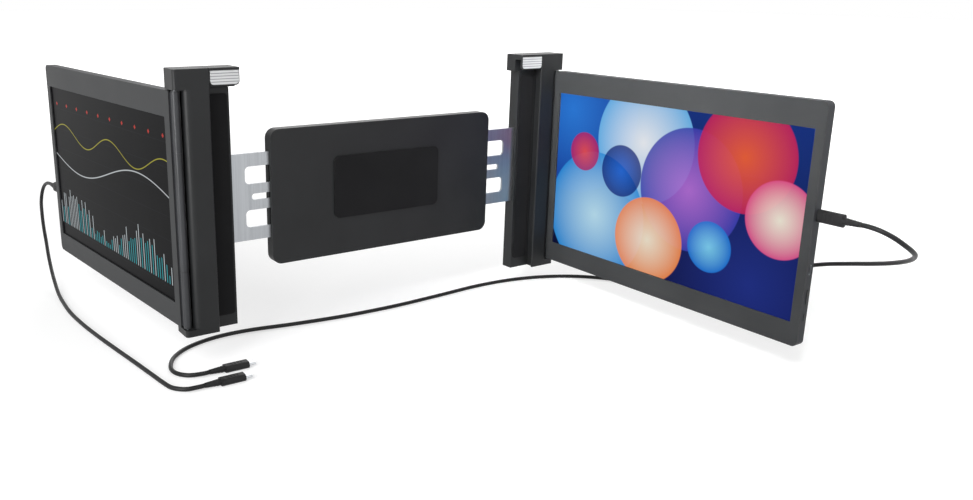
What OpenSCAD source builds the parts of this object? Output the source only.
// Screen extender for a laptop: two 13.3-inch monitors on columns that grip the lid's side
// edges and hook over its top. The columns slide in a housing behind the lid.
// X runs to the right, Y away from the user, Z up. The origin is the middle of the rest
// pad's face, which touches the back of the lid, so the lid stands in front of Y = 0.

/* [Laptop lid] */
// Width of the lid that the two columns grip
lid_w = 374; // [350:1:390]
// Thickness of the lid
lid_t = 7.5; // [6:0.1:8.5]
// Height of the lid's top edge above the middle of the rest pad
lid_top = 112; // [108:1:125]
// Air left between the lid and the slot it stands in
lid_gap = 0.3; // [0.2:0.05:0.5]

/* [Pose at rest] */
// Swing of the right monitor towards the user, from in line with the lid
right_forward = 90; // [60:1:94]
// Swing of the left monitor away from the user, from in line with the lid
left_back = 85; // [60:1:90]
// Furthest swing away from the user, which the column's outer wall gives way to
back_limit = 92; // [90:1:94]

/* [Monitors] */
// Width of the picture
picture_w = 293.8; // [285:0.1:300]
// Height of the picture
picture_h = 165.2; // [155:0.1:172]
// From the hinge axis to the picture
rim_inner = 13.7; // [12.5:0.1:18]
// Border at the outer edge of the picture
rim_outer = 8.5; // [7.5:0.1:12]
// Border above the picture
rim_top = 22.5; // [15:0.1:26]
// Border below the picture
rim_bottom = 20.5; // [15:0.1:26]
// Thickness of a monitor
monitor_t = 11; // [10.6:0.1:12]
// From the hinge axis forward to the monitor's front face
face_ahead = 4.4; // [4.2:0.1:4.5]
// Radius of the monitor's outer corners
monitor_r = 5; // [3:0.5:7]
// Bevel round the monitor's back
bevel = 1.6; // [0.8:0.1:2]
// Thickness of the back shell's side walls
shell_wall = 1.8; // [1.5:0.1:2.2]
// Thickness of the back shell's back wall
shell_back = 1.5; // [1.2:0.1:1.8]
// Thickness of the front frame round the picture
frame_t = 1.4; // [1:0.1:1.8]
// Thickness of the display panel
panel_t = 2.4; // [2:0.1:2.6]
// Cover of the front frame over the display panel's edge
panel_cover = 3; // [2:0.5:4]
// Thickness of the metal sheet behind the display panel
sheet_t = 0.5; // [0.4:0.1:0.6]
// Thickness of the driver board
board_t = 1.2; // [1:0.1:1.6]

/* [Ports and buttons] */
// Height of the lower port above the monitor's bottom edge
port_low = 68; // [60:1:80]
// Height of the upper port above the monitor's bottom edge
port_high = 115; // [100:1:120]
// Long side of a port's opening
port_w = 9; // [8.9:0.1:9.4]
// Short side of a port's opening
port_t = 3.2; // [3.2:0.05:3.4]
// Depth of a port's metal shell
port_depth = 7.4; // [7:0.1:8.5]
// Height of the power button above the monitor's bottom edge
power_up = 26; // [20:1:30]
// Height of the menu rocker above the monitor's bottom edge
menu_up = 44; // [38:1:48]
// Length of the power button
power_l = 7; // [5:0.5:9]
// Length of the menu rocker
menu_l = 13; // [10:0.5:15]
// Width of a button
button_w = 2.6; // [2:0.1:3]
// How far a button stands out, and how far it can be pressed
button_travel = 0.6; // [0.4:0.1:0.8]
// Air round a button
button_gap = 0.2; // [0.15:0.05:0.3]

/* [Columns] */
// Height of the arm over the monitor's top corner
lug_top_t = 17.2; // [15:0.1:20]
// Height of the foot under the monitor's bottom corner
lug_bottom_t = 6; // [5:0.5:9]
// Air between the monitor and the column's arm and foot
lug_gap = 0.9; // [0.5:0.1:1.5]
// Depth of a column from front to back
column_depth = 24; // [23.5:0.5:27]
// Thickness of the lip in front of the lid
lip_t = 2.1; // [1.8:0.1:2.6]
// Overlap of the lip on the lid's front
lip_over = 2.5; // [1.5:0.1:4]
// From the lid's edge out to the hinge axis
axis_out = 24.8; // [24:0.1:27]
// From the hinge axis forward to the column's front face
axis_back = 7.7; // [7:0.1:8.5]
// From the hinge axis out to the side of the column's arm and foot
lug_out = 3.8; // [3.5:0.1:8]
// From the hinge axis in to the column's outer wall
wall_in = 5; // [5:0.1:6]
// Radius of the column's outer front edge
column_r = 6; // [4.5:0.5:7]
// Radius of the corners of the column's arm and foot
lug_r = 3; // [2:0.5:3.5]
// From the lid's edge in to the end of the flange behind the lid
flange_in = 24; // [22:0.5:27]
// Thickness of the flange where the arm plate lies on it
flange_t = 4; // [3:0.5:4.5]
// Thickness of the rubber strip on the flange
strip_t = 1; // [0.8:0.1:1.4]
// Side walls of the hollow in the column's back
hollow_wall = 2; // [1.6:0.1:2.4]
// Thickness of the cover on the column's back
cover_t = 1.5; // [1.2:0.1:1.8]

/* [Hinges] */
// Radius of the hinge barrel on the monitor's edge
barrel_r = 3.4; // [3.2:0.1:3.5]
// Air between the barrel and the column
barrel_gap = 0.4; // [0.3:0.05:0.5]
// Radius of a hinge pin
hinge_pin_r = 1.6; // [1.3:0.1:1.8]
// Depth of a hinge pin in the barrel
hinge_pin_in = 16; // [12:1:22]
// Depth of the upper hinge pin in the column's arm
upper_pin_up = 12; // [9:0.5:13]
// Depth of the lower hinge pin in the column's foot
lower_pin_down = 4.4; // [3.5:0.1:4.5]
// Running fit of the barrel on its pins
running_fit = 0.06; // [0.04:0.01:0.1]

/* [Clips over the lid] */
// Width of a clip
clip_w = 27.2; // [25:0.1:30]
// Thickness of the hook over the lid's top edge
hook_t = 5; // [4:0.1:6]
// Drop of the hook's front tab below its top
tab_drop = 15; // [12:0.5:16]
// Rounding of the tab's lower corners
tab_r = 3.5; // [2:0.5:4.5]
// Dark border beside and under the silver pad
pad_border = 0.9; // [0.6:0.1:1.5]
// Dark border above the silver pad
pad_top_border = 2.2; // [1.5:0.1:3]
// Thickness of the silver pad
pad_t = 1.6; // [1.4:0.1:2]
// How far the silver pad stands out of the tab
pad_proud = 0.8; // [0.5:0.1:1]
// Width of the clip's stem
stem_w = 13; // [10:0.5:15]
// Thickness of the clip's stem
stem_t = 2.6; // [2:0.1:3]
// Length of the stem below the hook
stem_l = 50; // [45:1:55]
// Lift of the clip, for a lid with a thicker or higher edge
clip_lift = 12; // [8:1:13]
// Outer radius of the clip's spring
spring_r = 1.9; // [1.5:0.1:2]
// Radius of the spring's wire
wire_r = 0.3; // [0.25:0.05:0.4]
// Turns of the clip's spring
spring_turns = 11; // [8:1:14]

/* [Arms and housing] */
// Height of an arm plate
arm_h = 80; // [70:1:90]
// Thickness of an arm plate
arm_t = 2; // [1.5:0.1:2.4]
// Overlap of an arm plate in the housing at rest
arm_in_housing = 65; // [60:1:75]
// Air round an arm plate in the housing
arm_gap = 0.3; // [0.2:0.05:0.4]
// How far an arm slides out from rest
arm_out = 16; // [10:1:18]
// How far an arm slides in from rest
arm_in = 30; // [20:1:30]
// Width of the housing
housing_w = 250; // [230:1:254]
// Height of the housing's top edge above the middle of the rest pad
housing_up = 60; // [52:1:75]
// Depth of the housing's bottom edge below the middle of the rest pad
housing_down = 66; // [62:1:90]
// Radius of the housing's corners
housing_r = 9; // [6:1:12]
// Thickness of the rest pad on the housing's front
rest_t = 1.5; // [1:0.1:2]
// Width of the rest pad
rest_w = 120; // [80:1:160]
// Height of the rest pad
rest_h = 60; // [40:1:80]
// Thickness of the housing behind the arm plates
housing_back_t = 7.2; // [6.8:0.1:9]
// Radius of an arm's stop pin
stop_r = 2.5; // [2:0.1:3]

/* [Kickstand] */
// Width of the kickstand
stand_w = 84; // [60:1:100]
// Length of the kickstand from its pin to its free end
stand_l = 98; // [80:1:100]
// Thickness of the kickstand
stand_t = 3; // [2.5:0.1:3.2]
// Radius of the kickstand's knuckle
knuckle_r = 2.2; // [2:0.1:2.4]
// Radius of the kickstand's pin
stand_pin_r = 1.2; // [1:0.1:1.3]
// Height of the kickstand's pin above the housing's bottom edge
stand_pin_up = 7; // [6:0.5:10]
// Air round the kickstand in its recess
stand_gap = 0.4; // [0.3:0.1:0.6]
// Length of the rubber foot on the kickstand's free end
foot_l = 5; // [3:0.5:8]

/* [Plugs and cables] */
// Diameter of a cable
cable_d = 4; // [3:0.1:4.2]
// Length of a plug's moulded body
plug_l = 22; // [18:0.5:28]
// Width of a plug's moulded body
plug_w = 11; // [10:0.1:12]
// Thickness of a plug's moulded body
plug_t = 6.4; // [6:0.1:6.8]
// Length of the tapered relief between a plug and its cable
relief_l = 14; // [12:0.5:20]
// Length of a plug's metal tip
tip_l = 6.5; // [6:0.1:6.8]

/* [Fasteners] */
// Radius of a screw's head
head_r = 2.2; // [1.8:0.1:2.4]
// Height of a screw's head
head_h = 1; // [0.8:0.1:1.1]
// Radius of a screw's shank
shank_r = 1; // [0.8:0.1:1.2]
// Length of a screw under its head
shank_l = 5; // [4:0.5:5.5]

/* [Hidden] */

$fn = 48;
// Overshoot of a cutting shape past the face that it cuts
over = 1;
// Gap of a press fit or glued seat, and of a seam between two shells
fit = 0.02;
seam = 0.3;

// Colours as the photograph shows them
dark_plastic = "#3b3b3b";
monitor_grey = "#4b4b4b";
frame_black = "#333333";
silver = "#dedede";
steel = "#a8aaad";
rubber = "#242424";
cable_black = "#1c1c1c";
board_green = "#2c5a3c";
glass_dark = "#10131a";

// The column in plan: X outwards from the middle, Y away from the user
lid_edge = lid_w / 2;
slot_front = -lid_t - lid_gap;
column_front = slot_front - lip_t;
column_back = column_front + column_depth;
lip_x = lid_edge - lip_over;
slot_x = lid_edge + lid_gap;
flange_x = lid_edge - flange_in;
flange_front = strip_t;
hollow_front = flange_front + flange_t;
axis_x = lid_edge + axis_out;
axis_y = column_front + axis_back;
wall_x = axis_x - wall_in;
lug_x = axis_x + lug_out;
hollow_x0 = flange_x + hollow_wall;
hollow_back = column_back - cover_t;

// The column and the monitor in height
monitor_h = picture_h + rim_top + rim_bottom;
monitor_w = rim_inner + picture_w + rim_outer;
column_top = lid_top + lid_gap + hook_t;
lug_under = column_top - lug_top_t;
monitor_top = lug_under - lug_gap;
monitor_bottom = monitor_top - monitor_h;
foot_top = monitor_bottom - lug_gap;
column_bottom = foot_top - lug_bottom_t;
flange_top = lug_under - seam;
end_wall = 5;
hollow_top = flange_top - end_wall;
hollow_bottom = foot_top + end_wall;
lid_space_top = lid_top + lid_gap;

// The column's outer wall steps back behind the hinge, so that the swung monitor clears it
monitor_back = monitor_t - face_ahead;
nose_l = 10;
lean_in = 0.8;
lean_rise = (monitor_back - barrel_r) / nose_l;
hollow_x1 = axis_x - (monitor_back + barrel_gap) / sin(back_limit)
    + (hollow_back - axis_y) / tan(back_limit) - hollow_wall - barrel_gap;

// The clip: its stem runs in the column's hollow, and its spring bears on a ledge there
clip_x1 = lip_x - seam / 2;
clip_x0 = clip_x1 - clip_w;
lug_x0 = lip_x + seam / 2;
stem_inset = 4;
stem_x = max(hollow_x0 + seam, clip_x0 + stem_inset);
stem_y = hollow_front + seam;
stem_z0 = lug_under - stem_l;
stem_foot_t = 4;
spring_y = stem_y + stem_t + seam + spring_r;
spring_x = stem_x + stem_w / 2;
spring_shut = 20;
ledge_t = 4;
ledge_z = stem_z0 + stem_foot_t + clip_lift + spring_shut;

// Arms and housing
arm_y = hollow_front;
arm_x0 = housing_w / 2 - arm_in_housing;
arm_x1 = slot_x - hollow_wall;
housing_y0 = rest_t;
housing_mid = arm_y + arm_t + arm_gap;
housing_y1 = housing_mid + housing_back_t;
stop_inset = 15;
stop_x = housing_w / 2 - stop_inset;
screw_inset = 10;
stop_pin_in = 2;

// Kickstand, folded up against the housing's back
stand_pin_y = housing_y1 - knuckle_r;
stand_pin_z = -housing_down + stand_pin_up;
stand_y0 = housing_y1 - stand_t;

// Layers of a monitor from its front face, in the monitor's own frame: the hinge axis at
// X = Y = 0, the outer edge towards +X, the front towards -Y, the bottom edge at Z = 0
face_y = -face_ahead;
panel_y = face_y + frame_t;
sheet_y = panel_y + panel_t;
inner_back = monitor_back - shell_back;
port_y = sheet_y + sheet_t + seam + port_t / 2;
board_y = port_y + port_t / 2;
shell_x0 = barrel_r + 2 * seam;
picture_x0 = rim_inner;
picture_x1 = rim_inner + picture_w;
picture_z0 = rim_bottom;
picture_z1 = rim_bottom + picture_h;
board_gap = 1.3;
board_w = 53;
board_below = 12;
board_above = 18;
board_x1 = monitor_w - shell_wall - board_gap;
board_x0 = board_x1 - board_w;
board_z0 = power_up - board_below;
board_z1 = port_high + board_above;
port_x0 = monitor_w - port_depth;
switch_l = 4;
switch_x = monitor_w - shell_wall - switch_l;

// Leaf of the hinge, which lies behind the display panel's edge
leaf_t = 1.6;
leaf_y = sheet_y + sheet_t + seam;
leaf_above_pin = 8;
leaf_z0 = hinge_pin_in + leaf_above_pin;
leaf_z1 = monitor_h - leaf_z0;

// Plugs
plug_x0 = monitor_w + seam;

// The table that the cables lie on, and the plugs that lie there ready for a laptop's ports
table_z = -147.5;
left_plug_at = [-181, -51, table_z + plug_t / 2];
right_plug_at = [-167, -27, table_z + plug_t / 2];

// Routes of the cables, from the relief at the monitor to the relief at the laptop
left_route = [
    [-240.72, 349, -41], [-241.24, 355, -41], [-242.3, 366, -42.5], [-243.6, 377, -48],
    [-245, 385, -58], [-246.5, 387, -70], [-248, 381, -83], [-250, 369, -96],
    [-252, 353, -109], [-255, 333, -121], [-258, 309, -132], [-261, 282, -140],
    [-264, 253, -144.5], [-266, 222, -145.5], [-267, 190, -145.5], [-265, 150, -145.5],
    [-261, 110, -145.5], [-256, 70, -145.5], [-251, 32, -145.5], [-247, 0, -145.5],
    [-244, -24, -145.5], [-241, -38, -145.5], [-233, -48, -145],
    [-223, -51, -144.3], [-217.05, -51, -144.3]
];
right_route = [
    [213.6, -354.55, 6], [213.6, -360, 6], [215, -369, 4.5], [221, -377, 0],
    [231, -382, -7], [244, -382, -14], [259, -377, -21], [275, -367, -29],
    [290, -353, -37], [303, -335, -45], [314, -313, -53], [323, -288, -61],
    [329, -260, -70], [333, -230, -82], [335, -200, -97], [336, -170, -114],
    [335, -140, -129], [331, -110, -140], [324, -80, -145], [313, -50, -145.5],
    [296, -20, -145.5], [272, 5, -145.5], [240, 24, -145.5], [200, 36, -145.5],
    [150, 40, -145.5], [90, 36, -145.5], [30, 33, -145.5], [-30, 35, -145.5],
    [-85, 42, -145.5], [-130, 50, -145.5], [-165, 50, -145.5], [-195, 41, -145.5],
    [-216, 25, -145.5], [-227, 5, -145.5], [-228, -10, -145.5], [-221, -22, -145],
    [-210, -27, -144.3], [-203.05, -27, -144.3]
];

// ---------- Helpers ----------

// Rectangle between two corners, with its own corners rounded
module rounded(lo, hi, r) {
    translate([lo.x + r, lo.y]) square([hi.x - lo.x - 2 * r, hi.y - lo.y]);
    translate([lo.x, lo.y + r]) square([hi.x - lo.x, hi.y - lo.y - 2 * r]);
    for (x = [lo.x + r, hi.x - r], y = [lo.y + r, hi.y - r])
        translate([x, y]) circle(r = r);
}

// Slot with round ends, its long side along Y
module slot2d(long, short) {
    square([short, long - short], center = true);
    for (s = [-1, 1]) translate([0, s * (long - short) / 2]) circle(d = short);
}

// Extrusions of a drawing in X and Z along Y, and of a drawing in Y and Z along X
module along_y(y0, y1) {
    translate([0, y1, 0]) rotate([90, 0, 0]) linear_extrude(y1 - y0) children();
}
module along_x(x0, x1) {
    translate([x0, 0, 0]) rotate([90, 0, 90]) linear_extrude(x1 - x0) children();
}

// Block between two corners
module block(lo, hi) {
    translate(lo) cube(hi - lo);
}

// Shapes are drawn for the right-hand side and mirrored for the left
module on_side(side) {
    if (side == "left") mirror([1, 0, 0]) children();
    else children();
}

// A monitor's own frame, placed at its hinge axis and swung as the photograph shows
module on_monitor(side) {
    if (side == "left")
        translate([-axis_x, axis_y, monitor_bottom])
            rotate([0, 0, -left_back]) mirror([1, 0, 0]) children();
    else
        translate([axis_x, axis_y, monitor_bottom])
            rotate([0, 0, -right_forward]) children();
}

// Screw with its head on top at the origin and its shank down -Z
module screw() {
    color(steel) difference() {
        union() {
            translate([0, 0, -head_h]) cylinder(r = head_r, h = head_h);
            translate([0, 0, -head_h - shank_l]) cylinder(r = shank_r, h = shank_l);
        }
        translate([0, 0, -head_h / 2]) cylinder(d = head_r, h = head_h, $fn = 6);
    }
}

// Hole for the screw above, with a seat for its head
module screw_hole() {
    translate([0, 0, -head_h]) cylinder(r = head_r + fit, h = head_h + over);
    translate([0, 0, -head_h - shank_l - seam]) cylinder(r = shank_r + fit, h = shank_l + over);
}

// Tube swept along points: ring normals are carried from point to point without twist
function unit(v) = v / norm(v);
function headings(p) = [for (i = [0 : len(p) - 1])
    unit(p[min(i + 1, len(p) - 1)] - p[max(i - 1, 0)])];
function sideways(d) = unit(cross(d, abs(d.z) < 0.9 ? [0, 0, 1] : [1, 0, 0]));
function normals(d) = [for (i = 0, n = sideways(d[0]); i < len(d);
    i = i + 1, n = i < len(d) ? unit(n - (n * d[i]) * d[i]) : n) n];

module tube(p, r, sides) {
    d = headings(p);
    n = normals(d);
    last = (len(p) - 1) * sides;
    points = [for (i = [0 : len(p) - 1], s = [0 : sides - 1])
        let (a = s * 360 / sides) p[i] + r * (cos(a) * n[i] + sin(a) * cross(d[i], n[i]))];
    walls = [for (i = [0 : len(p) - 2], s = [0 : sides - 1], half = [0, 1])
        let (a = i * sides + s, b = i * sides + (s + 1) % sides)
            half == 0 ? [a, a + sides, b] : [b, a + sides, b + sides]];
    caps = [for (s = [1 : sides - 2], end = [0, 1])
        end == 0 ? [0, s, s + 1] : [last, last + s + 1, last + s]];
    polyhedron(points, concat(walls, caps));
}

// ---------- Housing behind the lid ----------

module housing_outline(inset) {
    rounded([-housing_w / 2 + inset, -housing_down + inset],
        [housing_w / 2 - inset, housing_up - inset], housing_r - inset);
}

// Places of the housing's screws and of the arms' stop pins
module at_housing_screws() {
    for (x = [-1, 1], z = [-housing_down + screw_inset, housing_up - screw_inset])
        translate([x * (housing_w / 2 - screw_inset), housing_y1 - bevel, z])
            rotate([-90, 0, 0]) children();
}

module housing_front() {
    color(dark_plastic) difference() {
        along_y(housing_y0, housing_mid) housing_outline(0);
        block([-housing_w / 2 - over, arm_y - arm_gap, -arm_h / 2 - arm_gap],
            [housing_w / 2 + over, housing_mid + over, arm_h / 2 + arm_gap]);
        at_housing_screws() screw_hole();
        for (s = [-1, 1]) translate([s * stop_x, arm_y - arm_gap + over, 0])
            rotate([90, 0, 0]) cylinder(r = stop_r - 1 + fit, h = stop_pin_in + over);
    }
}

// Pockets in the housing's back half, on each side of the kickstand, with ribs between them
module housing_pockets(open_x) {
    rib = 2.4;
    x0 = open_x + rib;
    x1 = housing_w / 2 - 2 * screw_inset;
    columns = 2;
    rows = 3;
    step_x = (x1 - x0) / columns;
    step_z = (arm_h - rib) / rows;
    for (s = [-1, 1], i = [0 : columns - 1], j = [0 : rows - 1])
        along_y(housing_mid - over, housing_y1 - bevel - rib) {
            x = s * (x0 + (i + 0.5) * step_x);
            z = (j + 0.5 - rows / 2) * step_z;
            rounded([x - (step_x - rib) / 2, z - (step_z - rib) / 2],
                [x + (step_x - rib) / 2, z + (step_z - rib) / 2], rib);
        }
}

module housing_back() {
    open_x = stand_w / 2 + stand_gap;
    notch_r = 11;
    pin_seat = 6;
    color(dark_plastic) difference() {
        hull() {
            along_y(housing_mid, housing_y1 - bevel) housing_outline(0, $fn = 32);
            along_y(housing_mid, housing_y1) housing_outline(bevel, $fn = 32);
        }
        // Room for the folded kickstand, open at the bottom, and for its knuckle
        block([-open_x, stand_y0 - stand_gap, -housing_down - over],
            [open_x, housing_y1 + over, stand_pin_z + stand_l + stand_gap]);
        block([-open_x, stand_pin_y - knuckle_r - stand_gap, -housing_down - over],
            [open_x, housing_y1 + over, stand_pin_z + knuckle_r + stand_gap]);
        // Notch for a fingertip above the kickstand's free end
        translate([0, stand_y0 - stand_gap, stand_pin_z + stand_l])
            rotate([-90, 0, 0]) cylinder(r = notch_r, h = housing_back_t);
        translate([-open_x - pin_seat, stand_pin_y, stand_pin_z])
            rotate([0, 90, 0]) cylinder(r = stand_pin_r + fit, h = 2 * (open_x + pin_seat));
        housing_pockets(open_x);
        at_housing_screws() screw_hole();
        for (s = [-1, 1]) translate([s * stop_x, housing_mid - over, 0])
            rotate([-90, 0, 0]) cylinder(r = stop_r - 1 + fit, h = stop_pin_in + over);
    }
}

module rest_pad() {
    corner_r = 6;
    groove_w = 1;
    pitch = 6;
    color(rubber) difference() {
        along_y(0, rest_t) rounded([-rest_w / 2, -rest_h / 2], [rest_w / 2, rest_h / 2], corner_r);
        for (x = [-rest_w / 2 + pitch : pitch : rest_w / 2 - pitch])
            along_y(rest_t / 2, rest_t + over)
                translate([x, 0]) square([groove_w, rest_h - 3 * corner_r], center = true);
    }
}

module housing_screws() {
    at_housing_screws() screw();
}

// Pins that end the arms' travel, held between the two halves of the housing
module arm_stop_pins() {
    color(steel) for (s = [-1, 1]) {
        translate([s * stop_x, arm_y - arm_gap, 0])
            rotate([-90, 0, 0]) cylinder(r = stop_r, h = arm_t + 2 * arm_gap);
        translate([s * stop_x, arm_y - arm_gap - stop_pin_in, 0])
            rotate([-90, 0, 0]) cylinder(r = stop_r - 1, h = arm_t + 2 * (arm_gap + stop_pin_in));
    }
}

module kickstand() {
    bore = stand_pin_r + running_fit;
    plate_r = 4;
    bar = 16;
    window_r = 5;
    color(monitor_grey) difference() {
        union() {
            along_y(stand_y0, housing_y1) rounded([-stand_w / 2, stand_pin_z],
                [stand_w / 2, stand_pin_z + stand_l - foot_l], plate_r);
            translate([-stand_w / 2, stand_pin_y, stand_pin_z])
                rotate([0, 90, 0]) cylinder(r = knuckle_r, h = stand_w);
        }
        translate([-stand_w / 2 - over, stand_pin_y, stand_pin_z])
            rotate([0, 90, 0]) cylinder(r = bore, h = stand_w + 2 * over);
        // The middle is cut away, which leaves a frame with a cross bar at each end
        along_y(stand_y0 - over, housing_y1 + over)
            rounded([-stand_w / 2 + bar, stand_pin_z + bar],
                [stand_w / 2 - bar, stand_pin_z + stand_l - foot_l - bar], window_r);
    }
}

module kickstand_foot() {
    inset = 4;
    corner_r = 1.2;
    color(rubber) along_y(stand_y0, housing_y1)
        rounded([-stand_w / 2 + inset, stand_pin_z + stand_l - foot_l],
            [stand_w / 2 - inset, stand_pin_z + stand_l], corner_r);
}

module kickstand_pin() {
    reach = stand_w / 2 + stand_gap + 5;
    color(steel) translate([-reach, stand_pin_y, stand_pin_z])
        rotate([0, 90, 0]) cylinder(r = stand_pin_r, h = 2 * reach);
}

// ---------- Arm and column ----------

// Places of the screws on the column's back: four in the cover, and four that hold the arm
module at_cover_screws() {
    inset = 5;
    for (at = [[hollow_x1 - inset, hollow_bottom + inset], [hollow_x1 - inset, 0],
            [hollow_x1 - inset, hollow_top - inset], [hollow_x0 + inset, hollow_bottom + inset]])
        translate([at.x, column_back, at.y]) rotate([-90, 0, 0]) children();
}
module at_arm_screws() {
    inset = 6;
    pitch = 9;
    for (x = [hollow_x0 + inset, hollow_x0 + inset + pitch], z = [-1, 1] * arm_h / 3)
        translate([x, arm_y + arm_t + head_h, z]) rotate([-90, 0, 0]) children();
}

module arm(side) {
    corner_r = 4;
    window_h = 16;
    window_inset = 14;
    color(steel) on_side(side) difference() {
        along_y(arm_y, arm_y + arm_t)
            rounded([arm_x0, -arm_h / 2], [arm_x1, arm_h / 2], corner_r);
        // Slot that runs past the stop pin, and two windows that save weight
        along_y(arm_y - over, arm_y + arm_t + over) {
            rounded([stop_x - arm_out - stop_r - seam, -stop_r - seam],
                [stop_x + arm_in + stop_r + seam, stop_r + seam], stop_r);
            for (s = [-1, 1]) translate([0, s * arm_h / 4])
                rounded([arm_x0 + window_inset, -window_h / 2],
                    [flange_x - window_inset, window_h / 2], corner_r);
        }
        at_arm_screws() screw_hole();
    }
}

// Plan of the column between its arm and foot
module column_plan() {
    difference() {
        union() {
            translate([lip_x + lip_t / 2, column_front])
                square([wall_x - column_r - lip_x - lip_t / 2, column_depth]);
            translate([slot_x, column_front + column_r])
                square([wall_x - slot_x, column_depth - column_r]);
            translate([wall_x - column_r, column_front + column_r]) circle(r = column_r);
            translate([lip_x + lip_t / 2, column_front + lip_t / 2]) circle(d = lip_t);
            translate([flange_x, flange_front])
                square([slot_x - flange_x, column_back - flange_front]);
        }
        lid_slot_plan();
        // Hollow for the hinge barrel, and the lean that the swung monitor needs
        translate([axis_x, axis_y]) circle(r = barrel_r + barrel_gap);
        translate([axis_x, axis_y]) rotate(back_limit)
            polygon([[-lean_in, -column_depth], [-lean_in, barrel_r + barrel_gap - lean_in * lean_rise],
                [nose_l, monitor_back + barrel_gap], [2 * column_depth, monitor_back + barrel_gap],
                [2 * column_depth, -column_depth]]);
    }
}

// Room for the lid's side edge
module lid_slot_plan() {
    translate([flange_x - over, slot_front])
        square([slot_x - flange_x + over, flange_front - slot_front]);
}

// Plan of the arm over the monitor and of the foot under it
module lug_plan(x0) {
    rounded([x0, column_front], [lug_x, column_back], lug_r);
    translate([x0, column_front]) square([lug_r, column_depth]);
}

module column(side) {
    boss_l = 10;
    color(dark_plastic) on_side(side) difference() {
        union() {
            translate([0, 0, column_bottom])
                linear_extrude(flange_top - column_bottom) column_plan();
            translate([0, 0, column_bottom]) linear_extrude(lug_bottom_t) lug_plan(slot_x - over);
            translate([0, 0, flange_top - over])
                linear_extrude(lug_under - flange_top + over) intersection() {
                    column_plan();
                    translate([lug_x0, column_front]) square([wall_x - lug_x0, column_depth]);
                }
            translate([0, 0, lug_under]) linear_extrude(lug_top_t) lug_plan(lug_x0);
        }
        // The lid's room goes on up to the lid's top edge
        translate([0, 0, column_bottom - over])
            linear_extrude(lid_space_top - column_bottom + over) lid_slot_plan();
        // Hollow in the back, with bosses left for the cover's screws and a spring ledge
        difference() {
            block([hollow_x0, hollow_front, hollow_bottom], [hollow_x1, column_back + over, hollow_top]);
            at_cover_screws() translate([0, 0, -cover_t - boss_l])
                cylinder(r = head_r + barrel_gap, h = boss_l);
            block([hollow_x0 - over, stem_y + stem_t + seam, ledge_z],
                [spring_x + stem_w / 2 + 1, hollow_back, ledge_z + ledge_t]);
        }
        // Ways out for the arm plate and for the clip's stem
        block([flange_x - over, arm_y, -arm_h / 2 - seam],
            [hollow_x0 + over, arm_y + arm_t + seam, arm_h / 2 + seam]);
        block([stem_x - seam, hollow_front, hollow_top - over],
            [stem_x + stem_w + seam, stem_y + stem_t + seam, flange_top + over]);
        at_cover_screws() screw_hole();
        at_arm_screws() screw_hole();
        // Bores for the hinge pins
        translate([axis_x, axis_y, lug_under - over])
            cylinder(r = hinge_pin_r + fit, h = upper_pin_up + over);
        translate([axis_x, axis_y, foot_top - lower_pin_down])
            cylinder(r = hinge_pin_r + fit, h = lower_pin_down + over);
    }
}

module column_cover(side) {
    color(dark_plastic) on_side(side) difference() {
        along_y(hollow_back, column_back)
            rounded([hollow_x0 + fit, hollow_bottom + fit], [hollow_x1 - fit, hollow_top - fit], 1);
        at_cover_screws() screw_hole();
    }
}

module lid_strip(side) {
    inset = 2;
    corner_r = 3;
    color(rubber) on_side(side) along_y(0, strip_t)
        rounded([flange_x + inset, hollow_bottom], [slot_x - 2 * inset, flange_top - end_wall], corner_r);
}

module upper_hinge_pin(side) {
    color(steel) on_side(side) translate([axis_x, axis_y, monitor_top - hinge_pin_in])
        cylinder(r = hinge_pin_r, h = hinge_pin_in + lug_gap + upper_pin_up);
}

module lower_hinge_pin(side) {
    color(steel) on_side(side) translate([axis_x, axis_y, foot_top - lower_pin_down])
        cylinder(r = hinge_pin_r, h = lower_pin_down + lug_gap + hinge_pin_in);
}

module column_screws(side) {
    on_side(side) {
        at_cover_screws() screw();
        at_arm_screws() screw();
    }
}

// ---------- Clip ----------

// Outline of the front tab, with its lower corners rounded
module tab_outline(inset, top) {
    lo = column_top - tab_drop + inset;
    r = tab_r - inset / 2;
    rounded([clip_x0 + inset, lo], [clip_x1 - inset, column_top - top], r);
    translate([clip_x0 + inset, lo + r + over])
        square([clip_w - 2 * inset, column_top - top - lo - r - over]);
}

module clip(side) {
    color(dark_plastic) on_side(side) difference() {
        union() {
            along_y(column_front, slot_front + over) tab_outline(0, 0);
            block([clip_x0, slot_front, lid_space_top], [clip_x1, column_back, column_top]);
            block([clip_x0, flange_front, lug_under], [clip_x1, column_back, column_top]);
            block([stem_x, stem_y, stem_z0], [stem_x + stem_w, stem_y + stem_t, lug_under + over]);
            block([stem_x, stem_y, stem_z0],
                [stem_x + stem_w, hollow_back - seam, stem_z0 + stem_foot_t]);
        }
        block([clip_x0 - over, slot_front, lug_under - tab_drop],
            [clip_x1 + over, flange_front, lid_space_top]);
        along_y(column_front - over, column_front + pad_t - pad_proud)
            tab_outline(pad_border - fit, pad_top_border - fit);
    }
}

module clip_pad(side) {
    ribs = 4;
    inset = 4;
    groove = 0.6;
    lo = column_top - tab_drop + pad_border;
    step = (tab_drop - pad_border - pad_top_border) / (ribs + 1);
    color(silver) on_side(side) difference() {
        along_y(column_front - pad_proud, column_front + pad_t - pad_proud)
            tab_outline(pad_border, pad_top_border);
        for (i = [1 : ribs])
            block([clip_x0 + inset, column_front - pad_proud - over, lo + i * step - groove / 2],
                [clip_x1 - inset, column_front - pad_proud + groove / 2, lo + i * step + groove / 2]);
    }
}

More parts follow.
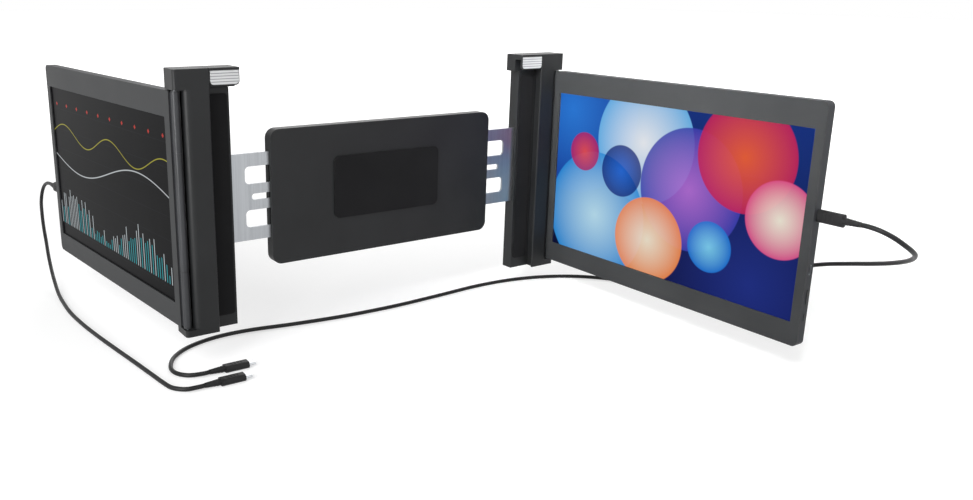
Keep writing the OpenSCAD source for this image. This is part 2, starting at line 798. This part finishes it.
// Coil spring that pulls the clip down on the lid
coil_steps = 8;
coil_z0 = stem_z0 + stem_foot_t + wire_r;
coil_h = ledge_z - stem_z0 - stem_foot_t - 2 * wire_r;
coil = [for (i = [0 : spring_turns * coil_steps]) let (a = i * 360 / coil_steps)
    [spring_x + (spring_r - wire_r) * cos(a), spring_y + (spring_r - wire_r) * sin(a),
        coil_z0 + coil_h * i / (spring_turns * coil_steps)]];
coil_clear = min([for (i = [0 : coil_steps]) norm(coil[i + coil_steps] - coil[0])]) - 2 * wire_r;
echo("Gap between the turns of the clip's spring:", coil_clear);

module clip_spring(side) {
    color(steel) on_side(side) tube(coil, wire_r, 6);
}

// ---------- Monitor ----------

// Outline of the monitor's body seen from the front, square at the hinge
module body_outline(inset) {
    r = monitor_r - inset;
    rounded([shell_x0 + inset, inset], [monitor_w - inset, monitor_h - inset], r);
    translate([shell_x0 + inset, inset]) square([2 * r, monitor_h - 2 * inset]);
}

// Slender nose that runs from the hinge barrel to the monitor's full thickness
module nose_plan() {
    difference() {
        polygon([[0, panel_y], [shell_x0 + over, panel_y], [nose_l + over, panel_y],
            [nose_l + over, monitor_back], [nose_l, monitor_back], [0, barrel_r]]);
        circle(r = barrel_r + fit);
    }
}

module at_ports() {
    for (z = [port_low, port_high]) translate([0, port_y, z]) children();
}

module back_shell(side) {
    hollow_x = nose_l + shell_wall;
    inner_r = 3;
    vents = 12;
    vent_pitch = 9;
    vent = [6, 1.6];
    color(monitor_grey) on_monitor(side) difference() {
        union() {
            intersection() {
                hull() {
                    along_y(panel_y, monitor_back - bevel) body_outline(0, $fn = 32);
                    along_y(panel_y, monitor_back) body_outline(bevel, $fn = 32);
                }
                block([nose_l, panel_y, -over], [monitor_w + over, monitor_back, monitor_h + over]);
            }
            translate([0, 0, bevel]) linear_extrude(monitor_h - 2 * bevel) nose_plan();
        }
        // Room for what the monitor holds, a seat for the hinge's leaf, and the ports
        along_y(panel_y - over, inner_back)
            rounded([hollow_x, shell_wall], [monitor_w - shell_wall, monitor_h - shell_wall], inner_r);
        block([-over, leaf_y - fit, leaf_z0 - fit],
            [hollow_x + over, leaf_y + leaf_t + fit, leaf_z1 + fit]);
        at_ports() along_x(monitor_w - shell_wall - over, monitor_w + over)
            slot2d(port_w + 2 * seam, port_t + 2 * seam);
        translate([0, port_y, power_up]) along_x(monitor_w - shell_wall - over, monitor_w + over)
            slot2d(power_l + 2 * button_gap, button_w + 2 * button_gap);
        translate([0, port_y, menu_up]) along_x(monitor_w - shell_wall - over, monitor_w + over)
            slot2d(menu_l + 2 * button_gap, button_w + 2 * button_gap);
        // Two rows of slots that let the backlight's heat out
        for (row = [0, 1], i = [0 : vents - 1])
            along_y(inner_back - over, monitor_back + over)
                translate([monitor_w / 2 + (i - (vents - 1) / 2) * vent_pitch,
                    monitor_h - (row + 3) * vent_pitch])
                    rotate(90) slot2d(vent.x, vent.y);
    }
}

module front_frame(side) {
    color(frame_black) on_monitor(side) difference() {
        along_y(face_y, panel_y) body_outline(0);
        along_y(face_y - over, panel_y + over)
            translate([picture_x0, picture_z0]) square([picture_w, picture_h]);
        translate([0, 0, -over]) cylinder(r = barrel_r + fit, h = monitor_h + 2 * over);
    }
}

module display_panel(side) {
    hinge_cover = min(panel_cover, rim_inner - nose_l - shell_wall - seam);
    color(glass_dark) on_monitor(side) along_y(panel_y, sheet_y)
        rounded([picture_x0 - hinge_cover, picture_z0 - panel_cover],
            [picture_x1 + panel_cover, picture_z1 + panel_cover], panel_cover / 3);
}

module backing_sheet(side) {
    window = [70, 90];
    windows = 3;
    window_r = 6;
    edge = 1;
    color(steel) on_monitor(side) difference() {
        along_y(sheet_y, sheet_y + sheet_t)
            rounded([picture_x0, picture_z0 - edge], [picture_x1, picture_z1 + edge], 2 * edge);
        for (i = [0 : windows - 1])
            along_y(sheet_y - over, sheet_y + sheet_t + over)
                translate([picture_x0 + picture_w * (i + 0.5) / windows, picture_z0 + picture_h / 2])
                    rounded(-window / 2, window / 2, window_r);
    }
}

// Circuit board with its main chips, the socket of the panel's lead, and the switches
// behind the buttons
module driver_board(side) {
    chip_t = 1.4;
    corner_r = 2;
    inset = 5;
    spacer_r = 2;
    main_chip = 16;
    small_chip = 8;
    lead_socket = [4, 30];
    color(board_green) on_monitor(side) {
        along_y(board_y, board_y + board_t)
            rounded([board_x0, board_z0], [board_x1, board_z1], corner_r);
        along_y(board_y - chip_t, board_y + over) {
            translate([board_x0 + 2 * inset, (port_low + port_high) / 2 - main_chip])
                square(main_chip);
            translate([board_x0 + 2 * inset, port_low - main_chip]) square(small_chip);
            translate([board_x0 + inset, board_z0 + 2 * inset]) square(lead_socket);
        }
        for (z = [power_up, menu_up])
            block([switch_x - switch_l, port_y - button_w / 2, z - switch_l / 2],
                [switch_x, board_y + over, z + switch_l / 2]);
        // Spacers that carry the board on the shell's back
        for (x = [board_x0 + inset, board_x1 - 2 * inset], z = [board_z0 + inset, board_z1 - inset])
            translate([x, board_y + board_t / 2, z]) rotate([-90, 0, 0])
                cylinder(r = spacer_r, h = inner_back - board_y - board_t / 2);
    }
}

// Two sockets: a metal shell round a thin tongue each
module ports(side) {
    skin = 0.3;
    mouth_back = 0.4;
    tongue = [0.7, port_w - 2.4];
    tongue_back = 2;
    color(silver) on_monitor(side) at_ports() {
        difference() {
            along_x(port_x0, monitor_w - mouth_back) slot2d(port_w, port_t);
            along_x(port_x0 + skin, monitor_w + over)
                slot2d(port_w - 2 * skin, port_t - 2 * skin);
        }
        along_x(port_x0, monitor_w - tongue_back) square(tongue, center = true);
    }
}

module hinge_barrel(side) {
    groove = 0.5;
    color(frame_black) on_monitor(side) difference() {
        union() {
            cylinder(r = barrel_r, h = monitor_h);
            block([0, leaf_y, leaf_z0], [nose_l + shell_wall, leaf_y + leaf_t, leaf_z1]);
        }
        for (z = [-over, monitor_h - hinge_pin_in - seam])
            translate([0, 0, z]) cylinder(r = hinge_pin_r + running_fit, h = hinge_pin_in + seam + over);
        // Parting grooves between the turning knuckles
        for (z = [monitor_h / 4, monitor_h * 3 / 4])
            translate([0, 0, z]) difference() {
                cylinder(r = barrel_r + over, h = groove);
                translate([0, 0, -over]) cylinder(r = barrel_r - groove, h = groove + 2 * over);
                block([shell_x0 - over, -monitor_t, -over], [nose_l * 2, monitor_t, groove + over]);
            }
    }
}

// Button that slides in the shell's edge, with a collar behind the wall that keeps it in
module button(side, up, long) {
    x0 = switch_x + button_travel + button_gap / 2;
    collar = [1.4, 0.6];
    color(frame_black) on_monitor(side) translate([0, port_y, up]) {
        along_x(x0, monitor_w + button_travel) slot2d(long, button_w);
        along_x(x0, monitor_w - shell_wall - button_gap)
            slot2d(long + collar.x, button_w + collar.y);
    }
}

// ---------- Plugs and cables ----------

// Moulded plug: its mouth at X = 0, its tapered relief towards +X, its long side along Z
module plug_body() {
    grooves = 4;
    groove = [1, 0.8, plug_w - 5];
    pitch = 3;
    rings = 4;
    ring = 1.4;
    thinner = 0.2;
    color(cable_black) {
        difference() {
            along_x(0, plug_l) slot2d(plug_w, plug_t);
            // Thumb grooves on both flat sides
            for (s = [-1, 1], i = [0 : grooves - 1])
                translate([plug_l / 2 + (i - (grooves - 1) / 2) * pitch, s * plug_t / 2, 0])
                    cube(groove, center = true);
        }
        rotate([0, 90, 0]) {
            translate([0, 0, plug_l])
                cylinder(r1 = plug_t / 2 - thinner, r2 = cable_d / 2 + thinner, h = relief_l);
            for (i = [1 : rings])
                translate([0, 0, plug_l + i * relief_l / (rings + 1) - ring / 2])
                    cylinder(r = plug_t / 2 - thinner * i, h = ring);
        }
    }
}

// Metal tip of a plug, hollow for the socket's tongue
module plug_tip() {
    play = 0.4;
    skin = 0.3;
    color(silver) difference() {
        along_x(-tip_l, 0) slot2d(port_w - 2 * play, port_t - 2 * play);
        along_x(-tip_l - over, -over)
            slot2d(port_w - 2 * (play + skin), port_t - 2 * (play + skin));
    }
}

module on_monitor_port(side) {
    up = side == "left" ? port_low : port_high;
    on_monitor(side) translate([plug_x0, port_y, up]) children();
}

module on_laptop_end(side) {
    translate(side == "left" ? left_plug_at : right_plug_at)
        mirror([1, 0, 0]) rotate([90, 0, 0]) children();
}

module cable(side) {
    color(cable_black) tube(side == "left" ? left_route : right_route, cable_d / 2, 8);
}

// ---------- Parts ----------

housing_front();
housing_back();
rest_pad();
housing_screws();
arm_stop_pins();
kickstand();
kickstand_foot();
kickstand_pin();
arm("left");  // left_arm
column("left");  // left_column
column_cover("left");  // left_column_cover
lid_strip("left");  // left_lid_strip
upper_hinge_pin("left");  // left_upper_hinge_pin
lower_hinge_pin("left");  // left_lower_hinge_pin
column_screws("left");  // left_column_screws
clip("left");  // left_clip
clip_pad("left");  // left_clip_pad
clip_spring("left");  // left_clip_spring
back_shell("left");  // left_back_shell
front_frame("left");  // left_front_frame
display_panel("left");  // left_display_panel
backing_sheet("left");  // left_backing_sheet
driver_board("left");  // left_driver_board
ports("left");  // left_ports
hinge_barrel("left");  // left_hinge_barrel
button("left", power_up, power_l);  // left_power_button
button("left", menu_up, menu_l);  // left_menu_rocker
on_monitor_port("left") plug_body();  // left_monitor_plug
on_monitor_port("left") plug_tip();  // left_monitor_plug_tip
on_laptop_end("left") plug_body();  // left_laptop_plug
on_laptop_end("left") plug_tip();  // left_laptop_plug_tip
cable("left");  // left_cable
arm("right");  // right_arm
column("right");  // right_column
column_cover("right");  // right_column_cover
lid_strip("right");  // right_lid_strip
upper_hinge_pin("right");  // right_upper_hinge_pin
lower_hinge_pin("right");  // right_lower_hinge_pin
column_screws("right");  // right_column_screws
clip("right");  // right_clip
clip_pad("right");  // right_clip_pad
clip_spring("right");  // right_clip_spring
back_shell("right");  // right_back_shell
front_frame("right");  // right_front_frame
display_panel("right");  // right_display_panel
backing_sheet("right");  // right_backing_sheet
driver_board("right");  // right_driver_board
ports("right");  // right_ports
hinge_barrel("right");  // right_hinge_barrel
button("right", power_up, power_l);  // right_power_button
button("right", menu_up, menu_l);  // right_menu_rocker
on_monitor_port("right") plug_body();  // right_monitor_plug
on_monitor_port("right") plug_tip();  // right_monitor_plug_tip
on_laptop_end("right") plug_body();  // right_laptop_plug
on_laptop_end("right") plug_tip();  // right_laptop_plug_tip
cable("right");  // right_cable
